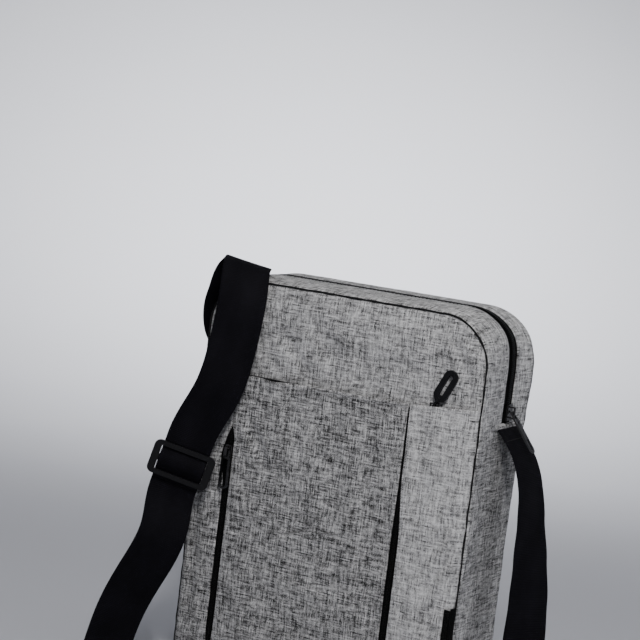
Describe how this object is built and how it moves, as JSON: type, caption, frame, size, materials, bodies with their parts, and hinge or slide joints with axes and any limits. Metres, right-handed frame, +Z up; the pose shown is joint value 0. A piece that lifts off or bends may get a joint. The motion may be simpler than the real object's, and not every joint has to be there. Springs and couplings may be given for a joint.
{
  "type": "messenger bag",
  "caption": "Upright crossbody messenger bag in heathered fabric with zipped front pockets, arched main zip and a webbing shoulder strap with a tri-glide.",
  "frame": {"origin": "middle of the base, on the surface that the bag stands on", "axes": "+Z up, -Y out of the front, +X to the right as the front is looked at"},
  "size_m": [0.3592, 0.2409, 0.3422],
  "materials": {
    "heather_fabric": "heathered grey coated polyester, fine cross weave with darker and lighter slubs",
    "pocket_fabric": "the same heathered polyester, a shade darker on the pocket",
    "lining": "thin black taffeta",
    "foam": "closed-cell foam sheet",
    "board": "stiff board",
    "edge_binding": "rolled seam edge with stitching",
    "zip_tape": "black herringbone zip tape",
    "zip_teeth": "black nylon coil",
    "slider_metal": "gunmetal lacquer, polished at the edges",
    "pull_steel": "dark grey polished steel",
    "pull_black": "black nickel",
    "pull_rubber": "glossy black moulded rubber",
    "webbing": "black ribbed polyester webbing",
    "glide_plastic": "glossy black moulded plastic"
  },
  "bodies": {
    "bag": {"back_edge_binding": "edge_binding", "back_foam": "foam", "back_lining": "lining", "back_panel": "heather_fabric", "base_board": "board", "base_gusset": "heather_fabric", "front_edge_binding": "edge_binding", "front_foam": "foam", "front_lining": "lining", "front_panel": "heather_fabric", "gusset_lining": "lining", "inner_slip_pocket": "lining", "left_zip_tape": "zip_tape", "left_zip_teeth": "zip_teeth", "main_zip_stops": "slider_metal", "main_zip_tape_front": "zip_tape", "main_zip_tape_rear": "zip_tape", "main_zip_teeth_front": "zip_teeth", "main_zip_teeth_rear": "zip_teeth", "pocket_centre_panel": "pocket_fabric", "pocket_left_panel": "pocket_fabric", "pocket_right_panel": "pocket_fabric", "pocket_side_wall": "heather_fabric", "pocket_zip_tape_front": "zip_tape", "pocket_zip_tape_rear": "zip_tape", "pocket_zip_teeth": "zip_teeth", "right_zip_tape": "zip_tape", "right_zip_teeth": "zip_teeth", "side_gusset_left": "heather_fabric", "side_gusset_right": "heather_fabric", "side_zip_tape": "zip_tape", "side_zip_teeth": "zip_teeth", "strap_long": "webbing", "strap_short": "webbing", "top_band_front": "heather_fabric", "top_band_rear": "heather_fabric", "tri_glide": "glide_plastic"},
    "main_slider": {"main_slider": "slider_metal"},
    "main_pull": {"main_pull": "pull_steel"},
    "pocket_slider": {"pocket_slider": "slider_metal"},
    "pocket_pull": {"pocket_pull": "pull_rubber"},
    "left_slider": {"left_slider": "slider_metal"},
    "left_pull": {"left_pull": "pull_black"},
    "right_slider": {"right_slider": "slider_metal"},
    "right_pull": {"right_pull": "pull_black"},
    "side_slider": {"side_slider": "slider_metal"},
    "side_pull": {"side_pull": "pull_black"}
  },
  "joints": [
    {"name": "main_zip_slide", "type": "slide", "parent": "bag", "child": "main_slider", "axis": [0, 0, 1], "range_m": [0, 0.03]},
    {"name": "main_pull_hinge", "type": "hinge", "parent": "main_slider", "child": "main_pull", "pos_m": [0.1267, 0.01, 0.252], "axis": [0, -1, 0], "range_deg": [0, 100]},
    {"name": "pocket_zip_slide", "type": "slide", "parent": "bag", "child": "pocket_slider", "axis": [-1, 0, 0], "range_m": [-0.024, 0.155]},
    {"name": "pocket_pull_hinge", "type": "hinge", "parent": "pocket_slider", "child": "pocket_pull", "pos_m": [0.084, -0.0425, 0.2538], "axis": [0, 1, 0], "range_deg": [-80, 30]},
    {"name": "left_zip_slide", "type": "slide", "parent": "bag", "child": "left_slider", "axis": [0, 0, -1], "range_m": [0, 0.14]},
    {"name": "left_pull_hinge", "type": "hinge", "parent": "left_slider", "child": "left_pull", "pos_m": [-0.0865, -0.05, 0.187], "axis": [-1, 0, 0], "range_deg": [0, 90]},
    {"name": "right_zip_slide", "type": "slide", "parent": "bag", "child": "right_slider", "axis": [0, 0, 1], "range_m": [0, 0.08]},
    {"name": "right_pull_hinge", "type": "hinge", "parent": "right_slider", "child": "right_pull", "pos_m": [0.067, -0.05, 0.05], "axis": [-1, 0, 0], "range_deg": [0, 150]},
    {"name": "side_zip_slide", "type": "slide", "parent": "bag", "child": "side_slider", "axis": [0, 0, 1], "range_m": [0, 0.055]},
    {"name": "side_pull_hinge", "type": "hinge", "parent": "side_slider", "child": "side_pull", "pos_m": [0.1184, -0.052, 0.04], "axis": [-1, 0, 0], "range_deg": [0, 150]}
  ]
}
